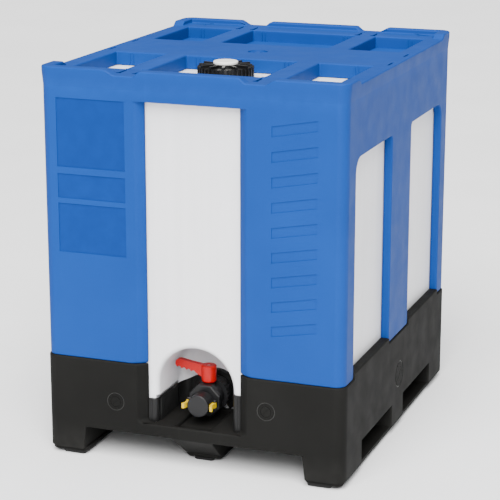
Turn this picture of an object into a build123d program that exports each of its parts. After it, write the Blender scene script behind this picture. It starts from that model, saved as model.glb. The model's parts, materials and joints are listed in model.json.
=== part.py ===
from build123d import *
import math
import os

os.makedirs("parts", exist_ok=True)

# Intermediate bulk container, millimetres. Origin: centre of the footprint, on the floor.
# +X runs to the right along the front face, the valve faces -Y, +Z is up.

# ---- driving dimensions ---------------------------------------------------------------
WIDTH = 1000
DEPTH = 1200
HEIGHT = 1260

# pallet base
PAD_H = 10
RUNNER_TOP = 24
RUNNER_X = 430        # centre line of an outer runner
DECK_BOTTOM = 100
DECK_TOP = 130
SEAM = 332            # where the shell's legs stand on the base
BASE_TOP = 350        # the base's rim in the windows
BASE_R = 38
BASE_WALL = 30
POST_OUT = 365        # inner X face of an outer post
POST_END = 404        # inner Y face of a front or rear post
POST_MID = 70         # half width of a middle post

# outer shell
SHELL_INSET = 4
SHELL_WALL = 27
SHELL_R = 34
SHELL_TOP = 1200
GRID_TOP = 1244
LEG_CORNER_R = 20
RIM_T = 40

# windows: half widths and heights
FRONT_WIN = 155
FRONT_WIN_OUT = 186
FRONT_WIN_TOP = 1168
SIDE_WIN_IN = 112
SIDE_WIN_OUT = 497
SIDE_WIN_TOP = 1020
SIDE_WIN_R = 48

# inner container
TANK_X = 467
TANK_Y = 565
TANK_BOTTOM = 131
TANK_TOP = 1198
TANK_WALL = 4
TANK_R = 60
ALCOVE_R = 125
ALCOVE_Z = 266
ALCOVE_BACK = -368
NOTCH_X = 134.5
NOTCH_TOP = 226
TOP_SPLIT = 1172
FRONT_SPLIT_Y = -543
ALCOVE_SPLIT_X = 150
ALCOVE_SPLIT_Z = 410

# valve bay
BAY_FLOOR = 139
BAY_BLOCK_X = 133
LINER_TOP = 225
LINER_T = 7.5

# filler
FILL_Y = -290
NECK_R = 76
NECK_BORE = 69
NECK_TOP = 1224
CAP_R = 87
CAP_TOP = 1240
HUB_R = 39
HUB_TOP = 1257
PLUG_R = 30

# outlet valve, on one axis along Y
VALVE_Z = 197
BORE_R = 22
BALL_Y = -446
BALL_R = 29.5
BARREL_R = 42
STEM_R = 8
STEM_CLEAR = 0.05
NUT_R = 55
COLLAR_R = 56
SPIGOT_R = 31
CUP_R = 36
ARM_X = 43
ARM_Y = -508
PIN_R = 3
HEEL_R = 6.2


# ---- helpers --------------------------------------------------------------------------
def block(x0, x1, y0, y1, z0, z1):
    return Pos((x0 + x1) / 2, (y0 + y1) / 2, (z0 + z1) / 2) * Box(x1 - x0, y1 - y0, z1 - z0)


def slab(half_x, half_y, radius, z0, z1, taper=0):
    outline = Plane.XY.offset(z0) * RectangleRounded(2 * half_x, 2 * half_y, radius)
    return extrude(outline, amount=z1 - z0, taper=taper)


def disc_z(x, y, z0, z1, outer, inner=0):
    shape = Pos(x, y, (z0 + z1) / 2) * Cylinder(outer, z1 - z0)
    if inner:
        shape -= Pos(x, y, (z0 + z1) / 2) * Cylinder(inner, z1 - z0 + 2)
    return shape


def disc_y(y0, y1, outer, inner=0, x=0, z=VALVE_Z):
    place = Pos(x, (y0 + y1) / 2, z) * Rot(90, 0, 0)
    shape = place * Cylinder(outer, y1 - y0)
    if inner:
        shape -= place * Cylinder(inner, y1 - y0 + 2)
    return shape


def prism_y(points, y0, y1):
    """Closed outline of (x, z) points, run along Y from y0 to y1."""
    face = make_face(Polyline(*[(x, y0, z) for x, z in points], close=True))
    return extrude(face, amount=y1 - y0, dir=(0, 1, 0))


def prism_x(points, x0, x1):
    """Closed outline of (y, z) points, run along X from x0 to x1."""
    face = make_face(Polyline(*[(x0, y, z) for y, z in points], close=True))
    return extrude(face, amount=x1 - x0, dir=(1, 0, 0))


def prism_z(points, z0, z1):
    """Closed outline of (x, y) points, run up from z0 to z1."""
    face = make_face(Polyline(*[(x, y, z0) for x, y in points], close=True))
    return extrude(face, amount=z1 - z0, dir=(0, 0, 1))


def write(name, shape):
    shape.label = name
    export_step(shape, f"parts/{name}.step")


# ---- pallet base ----------------------------------------------------------------------
def post_places():
    return [(sx, sy) for sx in (-1, 0, 1) for sy in (-1, 0, 1)]


def post_box(sx, sy):
    x_near, x_far = (POST_OUT, WIDTH / 2) if sx else (-POST_MID, POST_MID)
    y_near, y_far = (POST_END, DEPTH / 2) if sy else (-POST_MID, POST_MID)
    xs = sorted((x_near * (sx or 1), x_far * (sx or 1)))
    ys = sorted((y_near * (sy or 1), y_far * (sy or 1)))
    return xs, ys


def screw_places():
    """Two screws in each post, beside its pad."""
    spots = []
    for sx, sy in post_places():
        if sx == 0:
            spots += [(side * 48, sy * 455) for side in (-1, 1)]
        elif sy == 0:
            spots += [(sx * RUNNER_X, side * 58) for side in (-1, 1)]
        else:
            spots += [(sx * RUNNER_X, sy * y) for y in (430, 470)]
    return spots


SCREW_R = 4
SCREW_HEAD_R = 8
SCREW_TOP = 70


def runner_screws():
    screws = []
    for x, y in screw_places():
        shank = disc_z(x, y, PAD_H, SCREW_TOP, SCREW_R)
        head = disc_z(x, y, PAD_H, PAD_H + 5, SCREW_HEAD_R)
        socket = extrude(Plane((x, y, PAD_H)) * RegularPolygon(3.5, 6), amount=3)
        screws.append(shank + head - socket)
    return Part() + screws


def pallet_posts():
    footprint = slab(WIDTH / 2, DEPTH / 2, BASE_R, RUNNER_TOP, DECK_BOTTOM)
    ramp = 95
    posts = []
    for sx, sy in post_places():
        (x0, x1), (y0, y1) = post_box(sx, sy)
        post = footprint & block(x0, x1, y0, y1, RUNNER_TOP, DECK_BOTTOM)
        if sx == 0 and sy:
            end = sy * DEPTH / 2
            nose = [(end, DECK_BOTTOM - 6), (end, RUNNER_TOP), (end - sy * ramp, RUNNER_TOP)]
            post -= prism_x(nose, x0 - 1, x1 + 1)
        posts.append(post)
    posts = Part() + posts
    holes = [disc_z(x, y, RUNNER_TOP - 1, SCREW_TOP, SCREW_R) for x, y in screw_places()]
    return posts - holes


def runner(sx):
    """A skid board under one row of posts, with a rounded plan and holes for its screws."""
    if sx:
        board = slab(62, 592, 24, PAD_H, RUNNER_TOP)
        board = Pos(sx * RUNNER_X, 0, 0) * board
    else:
        board = slab(62, 502, 20, PAD_H, RUNNER_TOP)
    lower = board.faces().sort_by(Axis.Z)[0]
    board = chamfer(lower.edges(), 4)
    for x, y in screw_places():
        if abs(x - sx * RUNNER_X) < 62:
            board -= disc_z(x, y, PAD_H - 1, RUNNER_TOP + 1, SCREW_R)
            board -= disc_z(x, y, PAD_H - 1, PAD_H + 5, SCREW_HEAD_R)
    return board


def foot_pads():
    pads = []
    for sx, sy in post_places():
        reach = 540 if sx else 455
        pad = slab(40 if sx else 34, 45, 12, 0, PAD_H)
        pad = chamfer(pad.faces().sort_by(Axis.Z)[0].edges(), 2.5)
        pads.append(Pos(sx * 416, sy * reach, 0) * pad)
    return Part() + pads


def wall_legs(half_x, half_y, radius, inner_x, inner_y, z0, z1):
    """A square tube with the window openings cut out: what is left is the legs and bands."""
    ring = slab(half_x, half_y, radius, z0, z1) - slab(inner_x, inner_y, 10, z0 - 1, z1 + 1)
    ring -= front_windows(z0 - 1)
    ring -= side_windows(z0 - 1)
    corners = [e for e in ring.edges().filter_by(Axis.X)
               if abs(e.center().Z - z0) < 0.01 and abs(e.center().Y) < SIDE_WIN_OUT + 1]
    return fillet(corners, LEG_CORNER_R - 2.5)


def front_windows(bottom):
    """Front and rear openings: straight through, with slanted sides outside."""
    half_y = DEPTH / 2
    through = block(-FRONT_WIN, FRONT_WIN, -half_y - 1, half_y + 1, bottom, FRONT_WIN_TOP)
    through = fillet([e for e in through.edges().filter_by(Axis.Y) if e.center().Z > bottom + 1], 18)
    slant = [(-FRONT_WIN_OUT - 5, -half_y - 4), (FRONT_WIN_OUT + 5, -half_y - 4),
             (FRONT_WIN, -half_y + 26), (-FRONT_WIN, -half_y + 26)]
    funnel = prism_z(slant, bottom, FRONT_WIN_TOP)
    return through + funnel + mirror(funnel, Plane.XZ)


def side_windows(bottom):
    """Two openings on each side, with a large radius at their outer top corner."""
    half_x = WIDTH / 2 + 1
    cutters = []
    for side in (-1, 1):
        y0, y1 = sorted((side * SIDE_WIN_IN, side * SIDE_WIN_OUT))
        opening = block(-half_x, half_x, y0, y1, bottom, SIDE_WIN_TOP)
        top = [e for e in opening.edges().filter_by(Axis.X) if e.center().Z > SIDE_WIN_TOP - 1]
        outer = [e for e in top if abs(e.center().Y) > SIDE_WIN_OUT - 1]
        opening = fillet(outer, SIDE_WIN_R)
        top = [e for e in opening.edges().filter_by(Axis.X)
               if e.center().Z > SIDE_WIN_TOP - 1 and abs(e.center().Y) < SIDE_WIN_IN + 1]
        cutters.append(fillet(top, 16))
    return Part() + cutters


DOWEL_R = 6
DOWEL_HALF = 30
DOWELS = ([(sx * 330, sy * 583) for sx in (-1, 1) for sy in (-1, 1)]
          + [(sx * 483, sy * 546) for sx in (-1, 1) for sy in (-1, 1)]
          + [(-483, 0), (483, 0)])


def locating_dowels():
    return Part() + [disc_z(x, y, SEAM - DOWEL_HALF, SEAM + DOWEL_HALF, DOWEL_R) for x, y in DOWELS]


def base_moulding():
    """Deck and surrounding wall in one moulding, with the valve bay open at the front."""
    half_x = WIDTH / 2
    half_y = DEPTH / 2
    tray = slab(half_x, half_y, BASE_R, DECK_BOTTOM, BASE_TOP)
    tray -= slab(half_x - BASE_WALL, half_y - BASE_WALL, 20, DECK_TOP, BASE_TOP + 1)
    legs = wall_legs(half_x + 5, half_y + 5, BASE_R, TANK_X - 6, TANK_Y - 6, SEAM, BASE_TOP + 1)
    tray -= legs
    tray -= block(-FRONT_WIN, FRONT_WIN, -half_y - 1, -half_y + BASE_WALL + 1, BAY_FLOOR, BASE_TOP + 1)
    slant = [(-FRONT_WIN_OUT - 5, -half_y - 4), (FRONT_WIN_OUT + 5, -half_y - 4),
             (FRONT_WIN, -half_y + 26), (-FRONT_WIN, -half_y + 26)]
    tray -= prism_z(slant, BAY_FLOOR + 6, BASE_TOP + 1)
    lip = [(-half_y - 1, BAY_FLOOR - 9), (-half_y - 1, BAY_FLOOR + 1), (-half_y + 10, BAY_FLOOR + 1)]
    tray -= prism_x(lip, -FRONT_WIN - 8, FRONT_WIN + 8)
    tray += block(-BAY_BLOCK_X, BAY_BLOCK_X, -half_y + BASE_WALL, ALCOVE_BACK, DECK_TOP, BAY_FLOOR)
    trough = [(-56, BAY_FLOOR + 1), (56, BAY_FLOOR + 1), (46, BAY_FLOOR - 12), (-46, BAY_FLOOR - 12)]
    tray -= prism_y(trough, -half_y + 14, -390)
    tray -= [disc_z(x, y, SEAM - DOWEL_HALF, SEAM + 1, DOWEL_R) for x, y in DOWELS]
    return tray


def bay_region():
    """The space over the deck that the bay's floor and its front sill fill."""
    sill = block(-FRONT_WIN, FRONT_WIN, -DEPTH / 2 - 1, -DEPTH / 2 + BASE_WALL, DECK_TOP, BAY_FLOOR + 6)
    return sill + block(-BAY_BLOCK_X, BAY_BLOCK_X, -DEPTH / 2 + BASE_WALL, ALCOVE_BACK, DECK_TOP, BAY_FLOOR)


def base_deck():
    return base_moulding() & block(-WIDTH, WIDTH, -DEPTH, DEPTH, DECK_BOTTOM, DECK_TOP)


def bay_floor():
    return base_moulding() & bay_region()


def base_walls():
    upper = base_moulding() & block(-WIDTH, WIDTH, -DEPTH, DEPTH, DECK_TOP, BASE_TOP)
    return upper - bay_region()


def bay_liner():
    """Ribbed wall round the valve: front wings, two sides and a back open for the outlet."""
    front = -DEPTH / 2 + BASE_WALL - 4
    inner = ALCOVE_R
    outer = inner + LINER_T
    gap = 62
    half = [(FRONT_WIN - 0.1, front), (inner, front), (inner, ALCOVE_BACK - LINER_T),
            (gap, ALCOVE_BACK - LINER_T), (gap, ALCOVE_BACK), (outer, ALCOVE_BACK),
            (outer, front + 3), (FRONT_WIN - 0.1, front + 3)]
    wall = prism_z(half, BAY_FLOOR, LINER_TOP)
    for step in range(7):
        y = front + 14 + step * 26
        wall += block(inner - 2.5, inner + 1, y, y + 5, BAY_FLOOR, LINER_TOP - 8)
    for step in range(3):
        x = gap + 14 + step * 19
        wall += block(x, x + 5, ALCOVE_BACK - LINER_T - 2.5, ALCOVE_BACK - LINER_T + 1,
                      BAY_FLOOR, LINER_TOP - 8)
    slope = [(gap - 1, LINER_TOP + 1), (gap - 1, LINER_TOP - 22), (gap + 30, LINER_TOP + 1)]
    wall -= prism_y(slope, ALCOVE_BACK - 20, ALCOVE_BACK + 1)
    return Part() + [wall, mirror(wall, Plane.YZ)]


# ---- outer shell ----------------------------------------------------------------------
LABELS = [(947, 1166), (848, 928), (675, 834)]
LABEL_X = (-443, -212)
BAR_COUNT = 9
BAR_X = (262, 408)
BAR_Z = (470, 1165)
RECESS = 2.5


def front_relief():
    """Blank label recesses on the left panel and a column of slanted bars on the right."""
    face = -DEPTH / 2 + SHELL_INSET
    cuts = [block(*LABEL_X, face - 1, face + RECESS, z0, z1) for z0, z1 in LABELS]
    pitch = (BAR_Z[1] - BAR_Z[0]) / BAR_COUNT
    for index in range(BAR_COUNT):
        low = BAR_Z[0] + index * pitch
        bar = [(BAR_X[0], low), (BAR_X[1], low + 26), (BAR_X[1], low + 26 + pitch * 0.45),
               (BAR_X[0], low + pitch * 0.45)]
        cuts.append(prism_y(bar, face - 1, face + RECESS))
    return Part() + cuts


def outer_shell():
    half_x = WIDTH / 2 - SHELL_INSET
    half_y = DEPTH / 2 - SHELL_INSET
    walls = wall_legs(half_x, half_y, SHELL_R, half_x - SHELL_WALL, half_y - SHELL_WALL, SEAM, SHELL_TOP)
    walls -= front_relief()
    walls -= [disc_z(x, y, SEAM - 1, SEAM + DOWEL_HALF, DOWEL_R) for x, y in DOWELS]
    return walls


POCKET_X = [(-438, -262), (-190, 190), (262, 438)]
POCKET_Y = [(-470, -150), (150, 470)]
SLOT_W = 9
SLOT_D = 14


def top_frame():
    """Open grid over the container, with a raised rim that is notched where the beams end."""
    half_x = WIDTH / 2
    half_y = DEPTH / 2
    flare = -math.degrees(math.atan(SHELL_INSET / (GRID_TOP - SHELL_TOP)))
    frame = slab(half_x - SHELL_INSET, half_y - SHELL_INSET, SHELL_R, SHELL_TOP, GRID_TOP, flare)
    for x0, x1 in POCKET_X:
        for y0, y1 in POCKET_Y:
            pocket = Pos((x0 + x1) / 2, (y0 + y1) / 2, 0) * slab(
                (x1 - x0) / 2, (y1 - y0) / 2, 14, SHELL_TOP - 1, GRID_TOP + 1)
            frame -= pocket
    rim = slab(half_x, half_y, BASE_R, GRID_TOP - 1, HEIGHT)
    rim -= slab(half_x - RIM_T, half_y - RIM_T, 12, GRID_TOP - 2, HEIGHT + 1)
    for side in (-1, 1):
        notch = [(161, HEIGHT + 1), (181, GRID_TOP), (181, GRID_TOP - 2), (245, GRID_TOP - 2),
                 (245, GRID_TOP), (274, HEIGHT + 1)]
        rim -= prism_y([(side * x, z) for x, z in notch], -half_y - 1, half_y + 1)
    low = [(-492, HEIGHT + 1), (-470, GRID_TOP), (-470, GRID_TOP - 2), (470, GRID_TOP - 2),
           (470, GRID_TOP), (492, HEIGHT + 1)]
    rim -= prism_x(low, -half_x - 1, half_x + 1)
    frame += rim
    for sx in (-1, 1):
        for sy in (-1, 1):
            for x in (196, 249):
                frame -= block(*sorted((sx * (x - SLOT_W / 2), sx * (x + SLOT_W / 2))),
                               *sorted((sy * 478, sy * 545)), GRID_TOP - SLOT_D, GRID_TOP + 1)
            frame -= block(*sorted((sx * 470, sx * (470 + SLOT_W))), *sorted((sy * 62, sy * 122)),
                           GRID_TOP - SLOT_D, GRID_TOP + 1)
    frame -= disc_z(0, 0, GRID_TOP - 5, GRID_TOP + 1, 32)
    frame += disc_z(0, 0, GRID_TOP - 5.5, GRID_TOP - 2, 12)
    return frame


# ---- inner container ------------------------------------------------------------------
def tank_body(inset):
    """The container's outer form, moved inwards by inset, with its alcove round the valve."""
    body = slab(TANK_X - inset, TANK_Y - inset, TANK_R - inset, TANK_BOTTOM + inset, TANK_TOP - inset)
    reach = ALCOVE_BACK + inset
    front = -DEPTH / 2
    half = ALCOVE_R + inset
    body -= disc_y(front, reach, half, z=ALCOVE_Z) + block(-half, half, front, reach, 0, ALCOVE_Z)
    mouth = [e for e in body.edges()
             if abs(e.center().Y + TANK_Y - inset) < 0.01 and abs(e.center().X) < half + 1
             and TANK_BOTTOM + 20 < e.center().Z < TANK_TOP - 20]
    body = fillet(mouth, 18 - inset)
    body = fillet(body.faces().sort_by(Axis.Z)[-1].edges(), 24 - inset)
    return body - block(-NOTCH_X - inset, NOTCH_X + inset, front, reach, 0, NOTCH_TOP + inset)


def whole_tank():
    tank = tank_body(0) - tank_body(TANK_WALL)
    tank -= disc_z(0, FILL_Y, TANK_TOP - 20, TANK_TOP + 1, NECK_BORE)
    tank -= disc_y(ALCOVE_BACK - 1, ALCOVE_BACK + 20, BORE_R + 3)
    return tank


def top_region():
    return block(-WIDTH, WIDTH, -DEPTH, DEPTH, TOP_SPLIT, HEIGHT)


def back_region():
    return block(-ALCOVE_SPLIT_X, ALCOVE_SPLIT_X, ALCOVE_BACK - 0.01, ALCOVE_BACK + TANK_WALL, 0, ALCOVE_SPLIT_Z)


def arch_region():
    return block(-ALCOVE_SPLIT_X, ALCOVE_SPLIT_X, FRONT_SPLIT_Y, ALCOVE_BACK - 0.01, 0, ALCOVE_SPLIT_Z)


def front_region():
    return block(-ALCOVE_SPLIT_X, ALCOVE_SPLIT_X, -DEPTH / 2, FRONT_SPLIT_Y, 0, ALCOVE_SPLIT_Z)


def inner_container():
    """Floor and walls, without the top and the parts round the alcove."""
    return whole_tank() - top_region() - back_region() - arch_region() - front_region()


def container_top():
    return whole_tank() & top_region()


def container_front():
    """Front wall round the alcove's mouth."""
    return whole_tank() & front_region()


def alcove_arch():
    return whole_tank() & arch_region()


def alcove_back():
    return whole_tank() & back_region()


def filler_neck():
    neck = disc_z(0, FILL_Y, TANK_TOP, NECK_TOP, NECK_R - 2, NECK_BORE)
    neck += disc_z(0, FILL_Y, TANK_TOP, TANK_TOP + 3, NECK_R + 6, NECK_BORE)
    for turn in range(3):
        z = TANK_TOP + 8 + turn * 5
        neck += disc_z(0, FILL_Y, z, z + 2, NECK_R, NECK_BORE)
    return neck


def filler_cap():
    """Black screw cap: tapered skirt with grips, radial ribs on top, a hole for the plug."""
    skirt_bottom = TANK_TOP + 5
    taper = math.degrees(math.atan(4 / (CAP_TOP - skirt_bottom)))
    cap = extrude(Pos(0, FILL_Y, skirt_bottom) * Circle(CAP_R), amount=CAP_TOP - skirt_bottom, taper=taper)
    cap -= disc_z(0, FILL_Y, skirt_bottom - 1, NECK_TOP + 4.8, NECK_R + 2)
    cap += disc_z(0, FILL_Y, CAP_TOP - 1, CAP_TOP + 6, 45)
    centre = Pos(0, FILL_Y, 0)
    for index in range(12):
        rib = block(44, 83, -4, 4, CAP_TOP - 1, CAP_TOP + 8)
        cap += centre * Rot(0, 0, index * 30 + 15) * rib
    for index in range(36):
        grip = block(80, 89.5, -2.5, 2.5, skirt_bottom + 3, CAP_TOP)
        cap += centre * Rot(0, 0, index * 10 + 5) * grip
    return cap - disc_z(0, FILL_Y, skirt_bottom, HEIGHT, PLUG_R)


def cap_gasket():
    return disc_z(0, FILL_Y, NECK_TOP + 0.3, NECK_TOP + 4.8, NECK_R + 1.5, NECK_BORE)


def plug_gasket():
    return disc_z(0, FILL_Y, CAP_TOP + 6, CAP_TOP + 8, HUB_R - 3, PLUG_R)


def vent_plug():
    flange = disc_z(0, FILL_Y, CAP_TOP + 8, HUB_TOP, HUB_R)
    flange = fillet(flange.edges().group_by(Axis.Z)[-1], 4)
    plug = flange + disc_z(0, FILL_Y, CAP_TOP - 16, CAP_TOP + 9, PLUG_R - 0.4)
    plug -= disc_z(0, FILL_Y, CAP_TOP - 17, CAP_TOP + 4, PLUG_R - 5)
    return plug - disc_z(0, FILL_Y, CAP_TOP + 3, HUB_TOP + 1, 1.5)


# ---- outlet valve ---------------------------------------------------------------------
NECK_END = -403
FLANGE_FACE = -406
FLANGE_END = -414
BARREL_END = -472
SPIGOT_END = -535
CUP_END = -545
BONNET_TOP = 246
HANDLE_TOP = 306


def outlet_neck():
    neck = disc_y(NECK_END, ALCOVE_BACK, 43, BORE_R + 3)
    for turn in range(3):
        y = NECK_END + 5 + turn * 6
        neck += disc_y(y, y + 2.5, 45, BORE_R + 3)
    return neck


def flange_gasket():
    return disc_y(FLANGE_FACE, NECK_END, 40, BORE_R + 3)


def union_nut():
    """Ribbed ring nut that pulls the valve's flange on to the container's outlet."""
    nut = disc_y(-419, -380, NUT_R - 3, 45.2)
    nut += disc_y(-419, FLANGE_END, NUT_R - 3, 36)
    nut -= disc_y(FLANGE_END, NECK_END, 42.2)
    for index in range(24):
        rib = block(NUT_R - 4.5, NUT_R, -417, -382, -3, 3)
        nut += Pos(0, 0, VALVE_Z) * Rot(0, index * 15, 0) * rib
    return nut


def valve_body():
    body = disc_y(FLANGE_END, FLANGE_FACE, 42)
    body += disc_y(-428, FLANGE_END + 1, 35.8)
    body += disc_y(BARREL_END, -424, BARREL_R)
    body += disc_z(0, BALL_Y, VALVE_Z + 30, BONNET_TOP, 17)
    body -= disc_y(BARREL_END - 1, FLANGE_FACE + 1, BORE_R)
    body -= disc_y(BARREL_END - 1, -414, BALL_R + 1.5)
    body -= disc_z(0, BALL_Y, VALVE_Z + 20, BONNET_TOP + 1, STEM_R + STEM_CLEAR)
    return body - disc_z(0, BALL_Y, BONNET_TOP - 6, BONNET_TOP - 2, STEM_R + 3)


def ball_seat(y0, y1):
    seat = disc_y(y0, y1, BALL_R + 1.5, BORE_R)
    return seat - Pos(0, BALL_Y, VALVE_Z) * Sphere(BALL_R + 0.3)


def ball():
    """Closed at rest: its bore lies across the flow."""
    sphere = Pos(0, BALL_Y, VALVE_Z) * Sphere(BALL_R)
    sphere -= Pos(0, BALL_Y, VALVE_Z) * Rot(0, 90, 0) * Cylinder(BORE_R - 2, 80)
    return sphere - block(-9, 9, BALL_Y - 4, BALL_Y + 4, VALVE_Z + 23, VALVE_Z + 40)


def stem():
    shaft = disc_z(0, BALL_Y, VALVE_Z + 30.5, HANDLE_TOP - 8, STEM_R)
    tongue = block(-STEM_R, STEM_R, BALL_Y - 4, BALL_Y + 4, VALVE_Z + 23, VALVE_Z + 31)
    tongue &= disc_z(0, BALL_Y, VALVE_Z + 22, VALVE_Z + 32, STEM_R)
    return shaft + tongue - disc_z(0, BALL_Y, HANDLE_TOP - 26, HANDLE_TOP - 7, 2.6)


def stem_seal():
    return disc_z(0, BALL_Y, BONNET_TOP - 6, BONNET_TOP - 2, STEM_R + 3, STEM_R + STEM_CLEAR)


def handle():
    """Lever: a tall round boss over the stem and one arm, scalloped underneath."""
    boss = disc_z(0, BALL_Y, BONNET_TOP + 5, HANDLE_TOP, 22)
    outline = [(0, 302), (-100, 304), (-110, 299), (-113, 290), (-111, 279), (-104, 272),
               (-22, 260), (0, 256)]
    arm = prism_y(outline, BALL_Y - 9, BALL_Y + 9)
    arm = fillet([e for e in arm.edges().filter_by(Axis.Y) if e.center().X < -90], 4)
    lever = boss + arm
    for index in range(4):
        x = -92 + index * 17
        z = 273.5 - (x + 104) * 12 / 82 - 9
        lever -= disc_y(BALL_Y - 12, BALL_Y + 12, 10.5, x=x, z=z)
    lever -= disc_z(0, BALL_Y, BONNET_TOP, HANDLE_TOP - 8, STEM_R)
    return lever - disc_z(0, BALL_Y, HANDLE_TOP - 9, HANDLE_TOP + 1, 7)


def handle_screw():
    head = disc_z(0, BALL_Y, HANDLE_TOP - 8, HANDLE_TOP - 2, 6.5)
    shank = disc_z(0, BALL_Y, HANDLE_TOP - 26, HANDLE_TOP - 7, 2.6)
    return head + shank - extrude(Plane((0, BALL_Y, HANDLE_TOP - 5)) * RegularPolygon(3, 6), amount=4)


def end_collar():
    """Octagonal union collar that holds the outlet spigot on the valve."""
    turn = Rot(90, 0, 0) * Rot(0, 0, 22.5)
    octagon = Pos(0, -464, VALVE_Z) * turn * extrude(RegularPolygon(COLLAR_R, 8), amount=26)
    octagon = chamfer(octagon.faces().sort_by(Axis.Y)[0].edges(), 3)
    octagon -= disc_y(-479, -461, BARREL_R)
    return octagon - disc_y(-491, -478, SPIGOT_R)


def spigot():
    """Male cam-lock end: a tube with a flange behind and a cam groove outside."""
    tube = disc_y(SPIGOT_END, -475, SPIGOT_R)
    tube += disc_y(-479, -475, 38)
    groove = disc_y(-522, -510, SPIGOT_R + 1, 27)
    return tube - groove - disc_y(SPIGOT_END - 1, -470, BORE_R)


def collar_seal():
    return disc_y(-475, BARREL_END, 38, BALL_R + 1.5)


def dust_cap():
    """Cup over the spigot with a fork of two ears on each side for the cam levers."""
    cup = disc_y(CUP_END, -497, CUP_R)
    cup = fillet(cup.edges().sort_by(Axis.Y)[0:1], 3)
    for side in (-1, 1):
        for level in (-1, 1):
            x0, x1 = sorted((side * 28, side * (ARM_X + 7)))
            z0, z1 = sorted((VALVE_Z + level * 8.3, VALVE_Z + level * 13))
            ear = block(x0, x1, ARM_Y - 7, ARM_Y + 7, z0, z1)
            tip = [e for e in ear.edges().filter_by(Axis.Z) if abs(e.center().X) > ARM_X]
            cup += fillet(tip, 6)
    cup -= disc_y(CUP_END + 5, -496, SPIGOT_R + 0.4)
    for side in (-1, 1):
        cup -= disc_z(side * ARM_X, ARM_Y, VALVE_Z - 14, VALVE_Z + 14, PIN_R)
    return cup


def dust_cap_gasket():
    return disc_y(CUP_END + 5, SPIGOT_END - 0.3, SPIGOT_R, 20)


def cam_pins():
    return Part() + [disc_z(side * ARM_X, ARM_Y, VALVE_Z - 13, VALVE_Z + 13, PIN_R) for side in (-1, 1)]


def cam_lever(side):
    """Short lever on a vertical pin; it lies forwards along the cap when it is closed."""
    outline = [(37.3, ARM_Y), (49.5, ARM_Y), (50, -515), (47, -524), (47, -540), (53, -549), (51, -555),
               (43, -553), (38.5, -544), (37.3, -530)]
    lever = prism_z([(side * x, y) for x, y in outline], VALVE_Z - 8, VALVE_Z + 8)
    tip = [e for e in lever.edges().filter_by(Axis.Z) if e.center().Y < -548]
    lever = fillet(tip, 2.2)
    lever += disc_z(side * ARM_X, ARM_Y, VALVE_Z - 8, VALVE_Z + 8, HEEL_R)
    return lever - disc_z(side * ARM_X, ARM_Y, VALVE_Z - 9, VALVE_Z + 9, PIN_R + STEM_CLEAR)


# ---- export ---------------------------------------------------------------------------
NODES = {
    "foot_pads": foot_pads,
    "runner_left": lambda: runner(-1),
    "runner_middle": lambda: runner(0),
    "runner_right": lambda: runner(1),
    "runner_screws": runner_screws,
    "pallet_posts": pallet_posts,
    "base_deck": base_deck,
    "base_walls": base_walls,
    "bay_floor": bay_floor,
    "bay_liner": bay_liner,
    "locating_dowels": locating_dowels,
    "outer_shell": outer_shell,
    "top_frame": top_frame,
    "inner_container": inner_container,
    "container_top": container_top,
    "container_front": container_front,
    "alcove_arch": alcove_arch,
    "alcove_back": alcove_back,
    "filler_neck": filler_neck,
    "filler_cap": filler_cap,
    "cap_gasket": cap_gasket,
    "vent_plug": vent_plug,
    "plug_gasket": plug_gasket,
    "outlet_neck": outlet_neck,
    "flange_gasket": flange_gasket,
    "union_nut": union_nut,
    "valve_body": valve_body,
    "seat_rear": lambda: ball_seat(-424, -414),
    "seat_front": lambda: ball_seat(BARREL_END, -468),
    "ball": ball,
    "stem": stem,
    "stem_seal": stem_seal,
    "handle": handle,
    "handle_screw": handle_screw,
    "end_collar": end_collar,
    "collar_seal": collar_seal,
    "spigot": spigot,
    "dust_cap": dust_cap,
    "dust_cap_gasket": dust_cap_gasket,
    "cam_pins": cam_pins,
    "cam_lever_left": lambda: cam_lever(-1),
    "cam_lever_right": lambda: cam_lever(1),
}

for node, make in NODES.items():
    write(node, make())
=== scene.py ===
import json
import math

import bmesh
import bpy
from mathutils import Matrix, Vector


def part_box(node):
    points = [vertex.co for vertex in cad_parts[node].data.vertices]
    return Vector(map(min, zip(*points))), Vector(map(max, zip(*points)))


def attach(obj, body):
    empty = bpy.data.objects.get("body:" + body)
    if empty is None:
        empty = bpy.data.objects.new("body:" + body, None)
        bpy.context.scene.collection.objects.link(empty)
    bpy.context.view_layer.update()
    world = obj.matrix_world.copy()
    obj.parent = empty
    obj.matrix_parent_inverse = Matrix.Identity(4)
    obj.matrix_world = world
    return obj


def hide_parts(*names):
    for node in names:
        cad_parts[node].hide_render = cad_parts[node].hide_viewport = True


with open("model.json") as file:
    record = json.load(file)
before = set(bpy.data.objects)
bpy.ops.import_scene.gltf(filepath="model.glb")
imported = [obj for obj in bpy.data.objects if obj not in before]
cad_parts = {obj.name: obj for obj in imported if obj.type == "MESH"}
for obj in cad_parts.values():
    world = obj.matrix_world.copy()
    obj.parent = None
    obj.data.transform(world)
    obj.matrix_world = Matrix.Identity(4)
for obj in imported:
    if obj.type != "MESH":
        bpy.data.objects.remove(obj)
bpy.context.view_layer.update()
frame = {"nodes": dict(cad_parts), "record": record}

# ---- sizes, in metres -----------------------------------------------------------------
HALF_X, HALF_Y, RIM_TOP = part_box("top_frame")[1]

WELD = 0.00002              # points closer than this become one
TINY = 0.0001               # slack when places are compared
FLAT_ANGLE = math.radians(0.6)
SHARP_ANGLE = math.radians(28)
SMOOTH_ANGLE = math.radians(35)
ALONG = 0.9                 # least part of an edge's direction that counts as along an axis
SLANTED = 0.4               # the same for edges that may run at a slant
UPRIGHT = 0.99              # the same for upright edges
LEVEL = 0.1                 # most of a level edge's direction that may point up

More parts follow.
